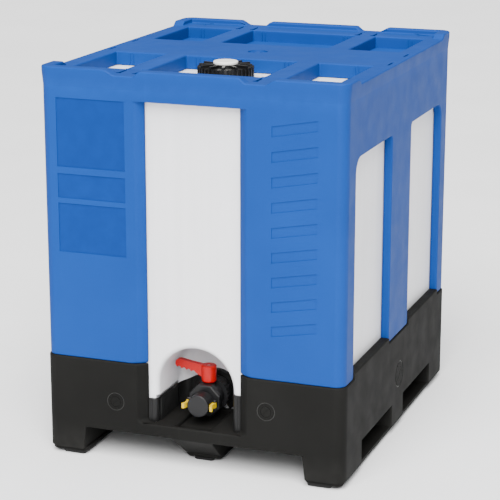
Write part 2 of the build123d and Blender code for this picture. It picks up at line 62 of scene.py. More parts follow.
MOULD_EDGE = 0.005          # edge radius of the large mouldings
CORNER_STEPS = 5            # cells across a rounded plan corner
RELIEF = 0.0025             # depth of the shell's shallow recesses
PROUD = 0.004               # how far a cutter stands out of the face it cuts
AXIS_GAP = 0.0001           # pinhole left at the axis of a turned outline

UP = Vector((0, 0, 1))

CAMERA_AIM = Vector((-0.019, -0.022, 0.575))
CAMERA_AZIMUTH = 20.47
CAMERA_ELEVATION = 15.01
CAMERA_DISTANCE = 6.017
LENS = 128.8
SENSOR = 36


# ---- materials ------------------------------------------------------------------------
class Finish:
    """A material whose colour, roughness and bump come from noise in the object's own space."""

    def __init__(self, name, **constants):
        self.material = bpy.data.materials.new(name)
        self.material.use_nodes = True
        self.tree = self.material.node_tree
        self.shader = self.tree.nodes["Principled BSDF"]
        for socket, value in constants.items():
            self.shader.inputs[socket.replace("_", " ")].default_value = value
        self.place = self.tree.nodes.new("ShaderNodeTexCoord").outputs["Object"]
        self.height = None

    def link(self, source, target):
        if isinstance(source, (int, float, tuple)):
            target.default_value = source
        else:
            self.tree.links.new(source, target)

    def noise(self, scale, detail=3, roughness=0.5, stretch=(1, 1, 1)):
        place = self.place
        if stretch != (1, 1, 1):
            mapping = self.tree.nodes.new("ShaderNodeMapping")
            mapping.inputs["Scale"].default_value = stretch
            self.link(place, mapping.inputs["Vector"])
            place = mapping.outputs["Vector"]
        node = self.tree.nodes.new("ShaderNodeTexNoise")
        node.inputs["Scale"].default_value = scale
        node.inputs["Detail"].default_value = detail
        node.inputs["Roughness"].default_value = roughness
        self.link(place, node.inputs["Vector"])
        return node.outputs["Fac"]

    def level(self, value, low, high, out_low=0.0, out_high=1.0):
        node = self.tree.nodes.new("ShaderNodeMapRange")
        self.link(value, node.inputs["Value"])
        node.inputs["From Min"].default_value = low
        node.inputs["From Max"].default_value = high
        node.inputs["To Min"].default_value = out_low
        node.inputs["To Max"].default_value = out_high
        return node.outputs["Result"]

    def maths(self, operation, a, b):
        node = self.tree.nodes.new("ShaderNodeMath")
        node.operation = operation
        self.link(a, node.inputs[0])
        self.link(b, node.inputs[1])
        return node.outputs["Value"]

    def blend(self, share, first, second):
        node = self.tree.nodes.new("ShaderNodeMix")
        node.data_type = "RGBA"
        self.link(share, node.inputs["Factor"])
        self.link(first, node.inputs["A"])
        self.link(second, node.inputs["B"])
        return node.outputs["Result"]

    def worn_edges(self):
        geometry = self.tree.nodes.new("ShaderNodeNewGeometry")
        return self.level(geometry.outputs["Pointiness"], 0.52, 0.6)

    def facing_up(self):
        geometry = self.tree.nodes.new("ShaderNodeNewGeometry")
        split = self.tree.nodes.new("ShaderNodeSeparateXYZ")
        self.link(geometry.outputs["Normal"], split.inputs[0])
        return self.level(split.outputs["Z"], 0.6, 1.0)

    def bump(self, value, depth):
        node = self.tree.nodes.new("ShaderNodeBump")
        node.inputs["Strength"].default_value = 1.0
        node.inputs["Distance"].default_value = depth
        self.link(value, node.inputs["Height"])
        if self.height is not None:
            self.link(self.height, node.inputs["Normal"])
        self.height = node.outputs["Normal"]

    def done(self, colour, roughness):
        self.link(colour, self.shader.inputs["Base Color"])
        self.link(roughness, self.shader.inputs["Roughness"])
        if self.height is not None:
            self.link(self.height, self.shader.inputs["Normal"])
        return self.material


def tinted(colour, factor):
    """A colour made lighter or darker, with an opaque alpha."""
    return tuple(min(1.0, c * factor) for c in colour) + (1.0,)


def moulded_plastic(name, colour, roughness, shade=0.1, grain=0.00006, grain_scale=900.0, wave=0.0,
                    scuffs=0.35, pale=1.5, dust=0.0, dust_colour=(0.5, 0.47, 0.42), **constants):
    """Moulded plastic: clouded colour, fine grain, hairline scuffs, worn edges, light dust on top."""
    finish = Finish(name, **constants)
    clouds = finish.level(finish.noise(3.2, 4), 0.3, 0.7)
    tone = finish.blend(clouds, tinted(colour, 1 - shade), tinted(colour, 1 + shade))
    speckle = finish.level(finish.noise(240, 2), 0.35, 0.75, 0, 0.35)
    tone = finish.blend(speckle, tone, tinted(colour, 1 + 2 * shade))
    lines = finish.level(finish.noise(34, 5, 0.62, (1, 1, 0.06)), 0.62, 0.74)
    crossing = finish.level(finish.noise(40, 5, 0.62, (0.07, 0.07, 1)), 0.66, 0.78)
    patches = finish.level(finish.noise(5.5, 3), 0.5, 0.68)
    hairlines = finish.maths("MULTIPLY", finish.maths("MAXIMUM", lines, crossing), patches)
    marks = finish.maths("MULTIPLY", hairlines, scuffs)
    tone = finish.blend(marks, tone, tinted(colour, pale))
    edges = finish.worn_edges()
    edges = finish.maths("MULTIPLY", edges, finish.level(finish.noise(28, 4), 0.35, 0.7, 0.2, 0.9))
    edges = finish.maths("MULTIPLY", edges, 0.55)
    tone = finish.blend(edges, tone, tinted(colour, pale))
    gloss = finish.level(finish.noise(14, 4), 0.3, 0.7, roughness - 0.05, roughness + 0.06)
    gloss = finish.maths("ADD", gloss, finish.maths("MULTIPLY", marks, 0.25))
    if dust:
        settled = finish.maths("MULTIPLY", finish.facing_up(), finish.level(finish.noise(9, 5), 0.3, 0.75))
        settled = finish.maths("MULTIPLY", settled, dust)
        tone = finish.blend(settled, tone, tinted(dust_colour, 1))
        gloss = finish.maths("ADD", gloss, finish.maths("MULTIPLY", settled, 0.4))
    if wave:
        finish.bump(finish.noise(5, 1), wave)
    finish.bump(finish.noise(grain_scale, 2), grain)
    finish.bump(hairlines, -0.00004)
    return finish.done(tone, gloss)


def natural_polyethylene(name):
    """Milky blow-moulded polyethylene: cloudy white, faint upright flow lines, soft light inside."""
    finish = Finish(name, Subsurface_Weight=0.25, Subsurface_Scale=0.02, Subsurface_Radius=(1.0, 0.9, 0.8))
    clouds = finish.level(finish.noise(2.4, 4), 0.3, 0.7)
    tone = finish.blend(clouds, (0.76, 0.755, 0.78, 1), (0.84, 0.83, 0.86, 1))
    flow = finish.level(finish.noise(26, 4, 0.6, (1, 1, 0.03)), 0.35, 0.7)
    tone = finish.blend(finish.maths("MULTIPLY", flow, 0.5), tone, (0.70, 0.70, 0.71, 1))
    spots = finish.level(finish.noise(160, 2), 0.68, 0.8, 0, 0.4)
    tone = finish.blend(spots, tone, (0.6, 0.59, 0.57, 1))
    gloss = finish.level(finish.noise(18, 4), 0.3, 0.7, 0.36, 0.5)
    finish.bump(finish.noise(3.5, 1), 0.004)
    finish.bump(finish.noise(30, 3, 0.5, (1, 1, 0.04)), 0.0004)
    finish.bump(finish.noise(700, 2), 0.00005)
    return finish.done(tone, gloss)


def plated_steel(name):
    """Zinc-plated steel with a faint mottle."""
    finish = Finish(name, Metallic=1.0)
    clouds = finish.level(finish.noise(90, 4), 0.3, 0.7)
    tone = finish.blend(clouds, (0.42, 0.42, 0.43, 1), (0.62, 0.61, 0.58, 1))
    finish.bump(finish.noise(1500, 2), 0.00002)
    return finish.done(tone, finish.level(finish.noise(300, 3), 0.3, 0.7, 0.28, 0.45))


def pale_floor(name):
    finish = Finish(name)
    clouds = finish.level(finish.noise(1.2, 3), 0.3, 0.7)
    tone = finish.blend(clouds, (0.84, 0.84, 0.84, 1), (0.88, 0.88, 0.88, 1))
    return finish.done(tone, finish.level(finish.noise(40, 3), 0.3, 0.7, 0.6, 0.7))


MATERIALS = {
    "shell_blue": moulded_plastic("shell_blue", (0.0052, 0.041, 0.205), 0.5, shade=0.07, wave=0.0015,
                                  grain=0.00007, grain_scale=650, scuffs=0.16, pale=1.5, dust=0.03,
                                  dust_colour=(0.05, 0.11, 0.26), Specular_IOR_Level=0.06),
    "base_black": moulded_plastic("base_black", (0.0068, 0.0067, 0.0062), 0.66, shade=0.16, wave=0.001,
                                  grain=0.00009, grain_scale=500, scuffs=0.45, pale=3.5, dust=0.1,
                                  dust_colour=(0.03, 0.027, 0.024), Specular_IOR_Level=0.06),
    "container_white": natural_polyethylene("container_white"),
    "cap_black": moulded_plastic("cap_black", (0.005, 0.005, 0.005), 0.3, scuffs=0.5, pale=5.0,
                                 Specular_IOR_Level=0.35),
    "plug_white": moulded_plastic("plug_white", (0.80, 0.79, 0.75), 0.32, shade=0.04, scuffs=0.2,
                                  pale=0.75),
    "valve_black": moulded_plastic("valve_black", (0.006, 0.006, 0.0065), 0.34, grain_scale=1500,
                                   scuffs=0.5, pale=5.0, Specular_IOR_Level=0.3),
    "handle_red": moulded_plastic("handle_red", (0.40, 0.0012, 0.0016), 0.3, shade=0.08, scuffs=0.2,
                                  pale=1.25, grain_scale=1800, grain=0.00004, Specular_IOR_Level=0.25),
    "lever_yellow": moulded_plastic("lever_yellow", (0.50, 0.33, 0.0008), 0.34, shade=0.06, scuffs=0.3,
                                    pale=0.7, grain_scale=2000, grain=0.00004),
    "rubber_black": moulded_plastic("rubber_black", (0.005, 0.005, 0.005), 0.33, scuffs=0.4, pale=3.0,
                                    Specular_IOR_Level=0.2),
    "dowel_grey": moulded_plastic("dowel_grey", (0.30, 0.30, 0.31), 0.5),
    "seat_white": moulded_plastic("seat_white", (0.78, 0.78, 0.77), 0.4, shade=0.03, pale=0.9),
    "steel": plated_steel("steel"),
}
# Darker blue for the label recesses' floors: painted shade; the floors are really the shell's own blue
# plastic
LABEL_SHADE_BLUE = moulded_plastic("label_painted_shade", (0.0030, 0.028, 0.155), 0.4, shade=0.05, grain=0.00003,
                             grain_scale=650, scuffs=0.12, Specular_IOR_Level=0.06)
DIAL_GREY = moulded_plastic("dial_grey", (0.022, 0.022, 0.021), 0.5, shade=0.1, scuffs=0.3, pale=2.0,
                            Specular_IOR_Level=0.2)


# ---- mesh work ------------------------------------------------------------------------
def as_object(name, mesh, slot, body):
    """Puts a finished mesh in the scene as a piece that rides on a body."""
    piece = bpy.data.objects.new(name, mesh)
    bpy.context.scene.collection.objects.link(piece)
    mesh.materials.clear()
    mesh.materials.append(MATERIALS[slot])
    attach(piece, body)
    return piece


def baked(obj):
    """The object's mesh with its modifiers applied, as a new mesh; the object is removed."""
    bpy.context.view_layer.update()
    mesh = bpy.data.meshes.new_from_object(obj.evaluated_get(bpy.context.evaluated_depsgraph_get()))
    bpy.data.objects.remove(obj)
    return mesh


def welded(mesh):
    """Joins the split corners of a mesh."""
    work = bmesh.new()
    work.from_mesh(mesh)
    bmesh.ops.remove_doubles(work, verts=work.verts, dist=WELD)
    bmesh.ops.dissolve_degenerate(work, edges=work.edges, dist=WELD)
    bmesh.ops.recalc_face_normals(work, faces=work.faces)
    work.to_mesh(mesh)
    work.free()
    return mesh


def loose(mesh, name="work"):
    """An object in the scene that is not yet a piece."""
    obj = bpy.data.objects.new(name, mesh)
    bpy.context.scene.collection.objects.link(obj)
    return obj


def combined(mesh, others, operation):
    """The mesh with other closed meshes added ("UNION") or taken away ("DIFFERENCE")."""
    obj = loose(mesh)
    tools = [loose(other) for other in others]
    for tool in tools:
        step = obj.modifiers.new("combine", "BOOLEAN")
        step.operation = operation
        step.solver = "EXACT"
        step.object = tool
    mesh = baked(obj)
    for tool in tools:
        bpy.data.objects.remove(tool)
    return mesh


def node_mesh(node):
    """A welded copy of a CAD node's mesh."""
    return welded(frame["nodes"][node].data.copy())


def is_sharp(edge):
    return len(edge.link_faces) == 2 and edge.calc_face_angle(0) > SHARP_ANGLE


def rounded(mesh, radius):
    """Rounds every sharp edge in two segments."""
    work = bmesh.new()
    work.from_mesh(mesh)
    bmesh.ops.remove_doubles(work, verts=work.verts, dist=WELD)
    bmesh.ops.dissolve_limit(work, angle_limit=FLAT_ANGLE, verts=work.verts, edges=work.edges)
    layers = work.edges.layers.float
    weight = layers.get("bevel_weight_edge") or layers.new("bevel_weight_edge")
    for edge in work.edges:
        edge[weight] = 1.0 if is_sharp(edge) else 0.0
    work.to_mesh(mesh)
    work.free()
    obj = loose(mesh)
    bevel = obj.modifiers.new("round", "BEVEL")
    bevel.limit_method = "WEIGHT"
    bevel.width = radius
    bevel.segments = 2
    bevel.miter_outer = "MITER_ARC"
    return smooth(baked(obj))


def smooth(mesh):
    """Smooth shading that keeps flat faces flat and sharp edges crisp."""
    work = bmesh.new()
    work.from_mesh(mesh)
    for face in work.faces:
        face.smooth = True
    for edge in work.edges:
        edge.smooth = len(edge.link_faces) == 2 and edge.calc_face_angle(0) < SMOOTH_ANGLE
    work.to_mesh(mesh)
    work.free()
    obj = loose(mesh)
    weights = obj.modifiers.new("weights", "WEIGHTED_NORMAL")
    weights.weight = 100
    weights.keep_sharp = True
    return baked(obj)


def mesh_from(name, build):
    """A mesh made by build(work) in a bmesh."""
    work = bmesh.new()
    build(work)
    bmesh.ops.recalc_face_normals(work, faces=work.faces)
    mesh = bpy.data.meshes.new(name)
    work.to_mesh(mesh)
    work.free()
    return mesh


def rounded_bar(work, low, high, radius):
    """A box between two corners with rounded edges, added to work."""
    made = bmesh.ops.create_cube(work, size=1.0)["verts"]
    size = Vector(high) - Vector(low)
    middle = (Vector(high) + Vector(low)) / 2
    bmesh.ops.scale(work, vec=size, verts=made)
    bmesh.ops.translate(work, vec=middle, verts=made)
    edges = list({edge for vert in made for edge in vert.link_edges})
    bmesh.ops.bevel(work, geom=edges, offset=min(radius, min(size) * 0.45), segments=2, profile=0.5,
                    affect="EDGES")


def skinned(work, rings, closed=False):
    """Quads between neighbouring rings of points; the ends are capped or, if closed, joined."""
    following = rings[1:] + rings[:1] if closed else rings[1:]
    count = len(rings[0])
    for here, there in zip(rings, following):
        for k in range(count):
            n = (k + 1) % count
            work.faces.new((here[k], here[n], there[n], there[k]))
    if not closed:
        work.faces.new(rings[0])
        work.faces.new(rings[-1])


def turned(work, profile, centre, axis, steps=64):
    """Spins a closed outline of (radius, height) points round an axis through centre."""
    axis = Vector(axis).normalized()
    side = axis.orthogonal().normalized()
    rings = []
    for step in range(steps):
        turn = Matrix.Rotation(2 * math.pi * step / steps, 3, axis)
        rings.append([work.verts.new(Vector(centre) + turn @ side * r + axis * h) for r, h in profile])
    skinned(work, rings, closed=True)


def round_plug(work, radius, depth, segments, place):
    """A closed cylinder, added to work."""
    bmesh.ops.create_cone(work, cap_ends=True, segments=segments, radius1=radius, radius2=radius,
                          depth=depth, matrix=place)


def quarter_turn(steps, first=0):
    """Angles up to 90 degrees in even steps."""
    return [math.radians(90 * step / steps) for step in range(first, steps + 1)]


# ---- large mouldings, built as filled cells of an uneven grid --------------------------
def mirrored(values):
    """The values and their mirror images, in order."""
    return sorted({-v for v in values} | set(values))


def corner_lines(half, radius):
    """Grid lines from the start of a rounded corner to its outer face, evenly spaced round the arc."""
    start = half - radius
    angles = [math.radians(45 * step / CORNER_STEPS) for step in range(CORNER_STEPS + 1)]
    return [start + radius * math.tan(angle) for angle in angles]


def cell_mesh(xs, ys, zs, filled):
    """The quads between filled cells and empty ones; filled(x, y, z) is asked at each cell's middle."""
    work = bmesh.new()
    corners = {}

    def corner(key):
        if key not in corners:
            i, j, k = key
            corners[key] = work.verts.new((xs[i], ys[j], zs[k]))
        return corners[key]

    counts = (len(xs) - 1, len(ys) - 1, len(zs) - 1)
    full = {(i, j, k) for i in range(counts[0]) for j in range(counts[1]) for k in range(counts[2])
            if filled((xs[i] + xs[i + 1]) / 2, (ys[j] + ys[j + 1]) / 2, (zs[k] + zs[k + 1]) / 2)}
    for cell in full:
        for axis in range(3):
            u, v = (axis + 1) % 3, (axis + 2) % 3
            for side in (0, 1):
                beyond = list(cell)
                beyond[axis] += 2 * side - 1
                if tuple(beyond) in full:
                    continue
                loop = []
                for du, dv in ((0, 0), (1, 0), (1, 1), (0, 1)):
                    key = list(cell)
                    key[axis] += side
                    key[u] += du
                    key[v] += dv
                    loop.append(corner(tuple(key)))
                work.faces.new(loop if side else loop[::-1])
    return work


def round_plan(work, half_x, half_y, radius, inset):
    """Bends the square corners of a plan into arcs; inset(z) moves the outer skin inwards."""
    centre_x, centre_y = half_x - radius, half_y - radius
    for vert in work.verts:
        x, y, z = vert.co
        dx, dy = abs(x) - centre_x, abs(y) - centre_y
        on_x, on_y = abs(x) > half_x - TINY, abs(y) > half_y - TINY
        if dx > TINY and dy > TINY:
            reach = max(dx, dy)
            if on_x or on_y:
                reach -= inset(z)
            scale = reach / math.hypot(dx, dy)
            dx, dy = dx * scale, dy * scale
        else:
            dx -= inset(z) if on_x else 0
            dy -= inset(z) if on_y else 0
        vert.co = (math.copysign(centre_x + dx, x), math.copysign(centre_y + dy, y), z)


def round_edges(work, chosen, radius, segments):
    """Rounds the sharp edges for which chosen(m, d) is true: m is the edge's middle, d its direction."""
    edges = []
    for edge in work.edges:
        if is_sharp(edge):
            a, b = (vert.co for vert in edge.verts)
            if chosen((a + b) / 2, (b - a).normalized()):
                edges.append(edge)
    bmesh.ops.bevel(work, geom=edges, offset=radius, offset_type="OFFSET", segments=segments, profile=0.5,
                    affect="EDGES", clamp_overlap=False)


def at(value, place):
    """Whether a value is a place or its mirror image."""
    return abs(abs(value) - place) < TINY


def within(value, limits):
    """Whether a value, whatever its sign, lies between two limits."""
    return limits[0] - TINY < abs(value) < limits[1] + TINY


def finished_mesh(work, name):
    """The bmesh as a mesh, held inside the CAD's outer faces."""
    high = (HALF_X, HALF_Y, RIM_TOP)
    for vert in work.verts:
        vert.co = [max(-limit, min(limit, value)) for value, limit in zip(vert.co, high)]
    mesh = bpy.data.meshes.new(name)
    bmesh.ops.recalc_face_normals(work, faces=work.faces)
    work.to_mesh(mesh)
    work.free()
    return mesh


def drafted_cutter(outline, face_y, depth, draft):
    """A shallow cutter in the front face: an (x, z) outline that narrows by draft at its floor."""
    middle_x = sum(x for x, z in outline) / len(outline)
    middle_z = sum(z for x, z in outline) / len(outline)

    def build(work):
        rings = []
        for y, inset in ((face_y - PROUD, -draft), (face_y + depth, draft)):
            ring = []
            for x, z in outline:
                x -= math.copysign(inset, x - middle_x)
                z -= math.copysign(inset, z - middle_z)
                ring.append(work.verts.new((x, y, z)))
            rings.append(ring)
        skinned(work, rings)

    return mesh_from("cutter", build)


# ---- outer shell and top frame --------------------------------------------------------
PLAN_R = 0.038
X_CORNER = corner_lines(HALF_X, PLAN_R)
Y_CORNER = corner_lines(HALF_Y, PLAN_R)
WALL_X, WALL_Y = X_CORNER[1], Y_CORNER[1]      # inner faces of the walls
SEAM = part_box("outer_shell")[0].z
SHELL_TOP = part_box("outer_shell")[1].z
SHELL_INSET = HALF_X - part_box("outer_shell")[1].x
FRONT_WIN, FRONT_WIN_OUT, FRONT_WIN_TOP = 0.155, 0.186, 1.168
SIDE_WIN_IN, SIDE_WIN_OUT, SIDE_WIN_TOP = 0.112, 0.497, 1.020
SIDE_WIN_MIDDLE = (SIDE_WIN_IN + SIDE_WIN_OUT) / 2
FRONT_WIN_R, SIDE_WIN_OUT_R, SIDE_WIN_IN_R = 0.018, 0.048, 0.016        # upper corners
WIN_FOOT_R = 0.011
LABEL_X = (-0.443, -0.212)
LABELS = [(0.947, 1.166), (0.848, 0.928), (0.675, 0.834)]               # lower and upper edge
LABEL_GAP = 0.002                           # round the floor, whose darker blue is painted shade
LABEL_LIFT = 0.0003                         # of that floor above the recess's own, and its edge radius
BAR_COUNT, BAR_X, BAR_Z, BAR_RISE = 9, (0.262, 0.408), (0.470, 1.165), 0.026
BAR_SHARE = 0.45                            # of the pitch
RELIEF_DRAFT = 0.0012


def slant_window_sides(work, low, high):
    """Opens the front and rear windows outwards, from half width FRONT_WIN to FRONT_WIN_OUT."""
    depth = HALF_Y - Y_CORNER[2]
    for vert in work.verts:
        x, y, z = vert.co
        share = (abs(y) - Y_CORNER[2]) / depth
        if at(x, FRONT_WIN) and share > 0 and low - TINY < z < high + TINY:
            vert.co.x = math.copysign(FRONT_WIN + share * (FRONT_WIN_OUT - FRONT_WIN), x)


def in_window(x, y, z):
    front = abs(x) < FRONT_WIN and abs(y) > WALL_Y and z < FRONT_WIN_TOP
    side = SIDE_WIN_IN < abs(y) < SIDE_WIN_OUT and abs(x) > WALL_X and z < SIDE_WIN_TOP
    return front or side


def in_shell(x, y, z):
    return (abs(x) > WALL_X or abs(y) > WALL_Y) and not in_window(x, y, z)


def shell_relief():
    """Three blank label recesses on the left panel, a column of slanted bars on the right."""
    face = SHELL_INSET - HALF_Y
    cutters = []
    for z0, z1 in LABELS:
        x0, x1 = LABEL_X
        outline = [(x0, z0), (x1, z0), (x1, z1), (x0, z1)]
        cutters.append(drafted_cutter(outline, face, RELIEF, RELIEF_DRAFT))
    pitch = (BAR_Z[1] - BAR_Z[0]) / BAR_COUNT
    for index in range(BAR_COUNT):
        z0 = BAR_Z[0] + index * pitch
        z1 = z0 + pitch * BAR_SHARE
        x0, x1 = BAR_X
        outline = [(x0, z0), (x1, z0 + BAR_RISE), (x1, z1 + BAR_RISE), (x0, z1)]
        cutters.append(drafted_cutter(outline, face, RELIEF, RELIEF_DRAFT))
    return cutters


def blue_shell():
    xs = mirrored([FRONT_WIN] + X_CORNER)
    ys = mirrored([SIDE_WIN_IN, SIDE_WIN_OUT] + Y_CORNER)
    zs = [SEAM, SIDE_WIN_TOP, FRONT_WIN_TOP, SHELL_TOP]
    work = cell_mesh(xs, ys, zs, in_shell)
    slant_window_sides(work, SEAM, FRONT_WIN_TOP)
    round_plan(work, HALF_X, HALF_Y, PLAN_R, lambda z: SHELL_INSET)

    def front_window_top(m, d):
        level = FRONT_WIN_TOP - TINY < m.z < SHELL_TOP - TINY and abs(d.z) < LEVEL
        return level and abs(d.y) > SLANTED and abs(m.x) < FRONT_WIN_OUT + TINY

    def side_window_top(m, d):
        return abs(d.x) > ALONG and at(m.z, SIDE_WIN_TOP)

    def window_foot(m, d):
        side = abs(d.x) > ALONG and abs(m.x) > WALL_X and abs(m.y) < SIDE_WIN_OUT + TINY
        front = abs(d.y) > SLANTED and abs(m.x) < FRONT_WIN_OUT + TINY and abs(m.y) > WALL_Y
        return at(m.z, SEAM) and (side or front)

    round_edges(work, front_window_top, FRONT_WIN_R, 6)
    round_edges(work, lambda m, d: side_window_top(m, d) and abs(m.y) > SIDE_WIN_MIDDLE, SIDE_WIN_OUT_R, 8)
    round_edges(work, lambda m, d: side_window_top(m, d) and abs(m.y) < SIDE_WIN_MIDDLE, SIDE_WIN_IN_R, 5)
    round_edges(work, window_foot, WIN_FOOT_R, 4)
    round_edges(work, lambda m, d: m.z < SHELL_TOP - TINY, MOULD_EDGE, 3)
    mesh = combined(finished_mesh(work, "blue_shell"), shell_relief(), "DIFFERENCE")
    piece = as_object("blue_shell", smooth(mesh), "shell_blue", "container")
    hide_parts("outer_shell")


def label_floors():
    """The smoother floors of the label recesses, in a darker blue that is painted shade."""
    def build(work):
        floor = SHELL_INSET - HALF_Y + RELIEF
        for z0, z1 in LABELS:
            low = (LABEL_X[0] + LABEL_GAP, floor - LABEL_LIFT, z0 + LABEL_GAP)
            high = (LABEL_X[1] - LABEL_GAP, floor + 0.001, z1 - LABEL_GAP)
            rounded_bar(work, low, high, LABEL_LIFT)

    piece = as_object("label_floors", smooth(mesh_from("label_floors", build)), "shell_blue", "container")
    # The darker blue on these floors is painted shade in the recesses
    piece.data.materials[0] = LABEL_SHADE_BLUE


GRID_TOP = 1.244
POCKETS_X = [(-0.190, 0.190), (0.262, 0.438)]
POCKETS_Y = (0.150, 0.470)
OUTER_POCKET_R, MIDDLE_POCKET_R = 0.014, 0.008
SLOTS_X = [(0.190, 0.200), (0.245, 0.255)]
SLOTS_Y = (0.478, 0.545)
SIDE_SLOT_Y = (0.062, 0.122)
SLOT_FLOOR = 1.230
SLOT_EDGE = 0.0012
SLOT_ZONE_X, SIDE_SLOT_ZONE_Y = (0.18, 0.26), 0.13     # where an edge counts as a slot's
DRAIN = (0.405, 0.549)
DRAIN_LENGTH, DRAIN_WIDTH, DRAIN_TURN = 0.062, 0.013, 0.36     # turn in radians
DRAIN_CUT, DRAIN_SINK = 0.02, 0.003         # height of the cutters, their middle below the grid's top
DRAIN_HOLE_R = 0.0055
DRAIN_HOLE_IN = (0.006, 0.020)              # from a drain's middle towards the object's
NOTCH = (0.181, 0.245)          # at the rim's foot
NOTCH_TOP = (0.161, 0.274)
SIDE_RIM = (0.470, 0.492)       # where the side rims begin, at foot and top
POCKET_RIBS_X = (-0.385, -0.151, 0.151, 0.385)      # middles of pairs of ribs
RIB_HALF, RIB_APART = 0.0018, 0.006
SHADE_WEB_TOP = SHELL_TOP + 0.004     # top of the blue webs in the rear pockets, which stand in for painted shade
BOSS_X = 0.020


def in_top_frame(x, y, z):
    x, y = abs(x), abs(y)
    if z > GRID_TOP:
        if y > Y_CORNER[0]:
            return not NOTCH[0] < x < NOTCH[1]
        return x > X_CORNER[0] and y > SIDE_RIM[0]
    pocket = POCKETS_Y[0] < y < POCKETS_Y[1] and any(x0 < x < x1 for x0, x1 in POCKETS_X)
    slot = SLOTS_Y[0] < y < SLOTS_Y[1] and any(x0 < x < x1 for x0, x1 in SLOTS_X)
    side_slot = SIDE_SLOT_Y[0] < y < SIDE_SLOT_Y[1] and X_CORNER[2] < x < X_CORNER[3]
    return not (pocket or ((slot or side_slot) and z > SLOT_FLOOR))


def spread(value, low, high, new_low, new_high):
    """Moves a size between two limits on to another pair of limits, keeping its sign."""
    share = (abs(value) - low) / (high - low)
    return math.copysign(new_low + share * (new_high - new_low), value)


def blue_top_frame():
    lines = {v for pair in POCKETS_X + SLOTS_X for v in pair} | set(NOTCH) | set(X_CORNER)
    xs = mirrored(lines)
    ys = mirrored({*POCKETS_Y, *SLOTS_Y, *SIDE_SLOT_Y, *Y_CORNER})
    work = cell_mesh(xs, ys, [SHELL_TOP, SLOT_FLOOR, GRID_TOP, RIM_TOP], in_top_frame)
    for vert in work.verts:
        x, y, z = vert.co
        if z > GRID_TOP + TINY:
            if abs(y) > Y_CORNER[0] - TINY and NOTCH[1] - TINY < abs(x) < POCKETS_X[1][1]:
                vert.co.x = spread(x, NOTCH[1], POCKETS_X[1][1], NOTCH_TOP[1], POCKETS_X[1][1])
            elif abs(y) > Y_CORNER[0] - TINY and abs(x) < NOTCH[0] + TINY:
                vert.co.x = spread(x, 0, NOTCH[0], 0, NOTCH_TOP[0])
            if abs(x) > X_CORNER[0] - TINY and SIDE_RIM[0] - TINY < abs(y) < Y_CORNER[0] - TINY:
                vert.co.y = spread(y, SIDE_RIM[0], Y_CORNER[0], SIDE_RIM[1], Y_CORNER[0])
    flare = SHELL_INSET / (GRID_TOP - SHELL_TOP)
    round_plan(work, HALF_X, HALF_Y, PLAN_R, lambda z: max(0.0, (GRID_TOP - z) * flare))

    def pocket_corner(m, d):
        return abs(d.z) > UPRIGHT and within(m.y, POCKETS_Y) and m.z < GRID_TOP

    def at_slot(m):
        return within(m.x, SLOT_ZONE_X) and within(m.y, SLOTS_Y) and m.z < GRID_TOP + TINY

    def at_side_slot(m):
        return X_CORNER[0] + TINY < abs(m.x) < X_CORNER[4] and abs(m.y) < SIDE_SLOT_ZONE_Y

    def above_foot(m):
        return m.z > SHELL_TOP + TINY

    def fine(m):
        return at_slot(m) or at_side_slot(m)

    round_edges(work, lambda m, d: pocket_corner(m, d) and within(m.x, POCKETS_X[1]), OUTER_POCKET_R, 5)
    round_edges(work, lambda m, d: pocket_corner(m, d) and at(m.x, POCKETS_X[0][1]), MIDDLE_POCKET_R, 4)
    round_edges(work, lambda m, d: above_foot(m) and fine(m), SLOT_EDGE, 2)
    round_edges(work, lambda m, d: above_foot(m) and not fine(m), MOULD_EDGE, 3)
    mesh = finished_mesh(work, "blue_top_frame")

    def dish(cutter):
        profile = [(AXIS_GAP, PROUD), (0.034, PROUD), (0.032, -0.005), (0.013, -0.005), (0.011, -0.002),
                   (AXIS_GAP, -0.002)]
        turned(cutter, profile, (0, 0, GRID_TOP), UP, 48)

    def drains(cutter):
        for side in (-1, 1):
            x, y = DRAIN
            z = GRID_TOP - DRAIN_SINK
            turn = Matrix.Rotation(-side * DRAIN_TURN, 4, "Z")
            size = Matrix.Diagonal((DRAIN_LENGTH, DRAIN_WIDTH, DRAIN_CUT, 1))
            round_plug(cutter, 0.5, 1, 32, Matrix.Translation((side * x, y, z)) @ turn @ size)
            hole = (side * (x - DRAIN_HOLE_IN[0]), y - DRAIN_HOLE_IN[1], z)
            round_plug(cutter, DRAIN_HOLE_R, DRAIN_CUT, 20, Matrix.Translation(hole))

    mesh = combined(mesh, [mesh_from("dish", dish), mesh_from("drains", drains)], "DIFFERENCE")
    piece = as_object("blue_top_frame", smooth(mesh), "shell_blue", "container")
    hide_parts("top_frame")


def pocket_ribs():
    """Ribs on the pockets' rear walls, blue webs in the rear pockets that are painted shade over the
    container's top, bosses in the round recess.
    """
    def build(work):
        for wall in (-POCKETS_Y[0], POCKETS_Y[1]):
            for middle in POCKET_RIBS_X:
                for x in (middle - RIB_APART, middle + RIB_APART):
                    low = (x - RIB_HALF, wall - 0.003, SHADE_WEB_TOP)
                    rounded_bar(work, low, (x + RIB_HALF, wall + 0.002, GRID_TOP - 0.006), 0.0015)
        # Blue webs in the three rear pockets: painted shade, put where the container's top lies in shade
        y0, y1 = POCKETS_Y
        left = tuple(-x for x in reversed(POCKETS_X[1]))
        for x0, x1 in (left, *POCKETS_X):
            low = (x0 - 0.001, y0 - 0.001, SHELL_TOP + 0.0005)
            rounded_bar(work, low, (x1 + 0.001, y1 + 0.001, SHADE_WEB_TOP), 0.0008)
        profile = [(AXIS_GAP, 0.003), (0.003, 0.003), (0.0045, 0.0015), (0.0045, -0.001),
                   (AXIS_GAP, -0.001)]
        for x in (-BOSS_X, BOSS_X):
            turned(work, profile, (x, 0, GRID_TOP - 0.005), UP, 24)

    as_object("pocket_ribs", smooth(mesh_from("pocket_ribs", build)), "shell_blue", "container")


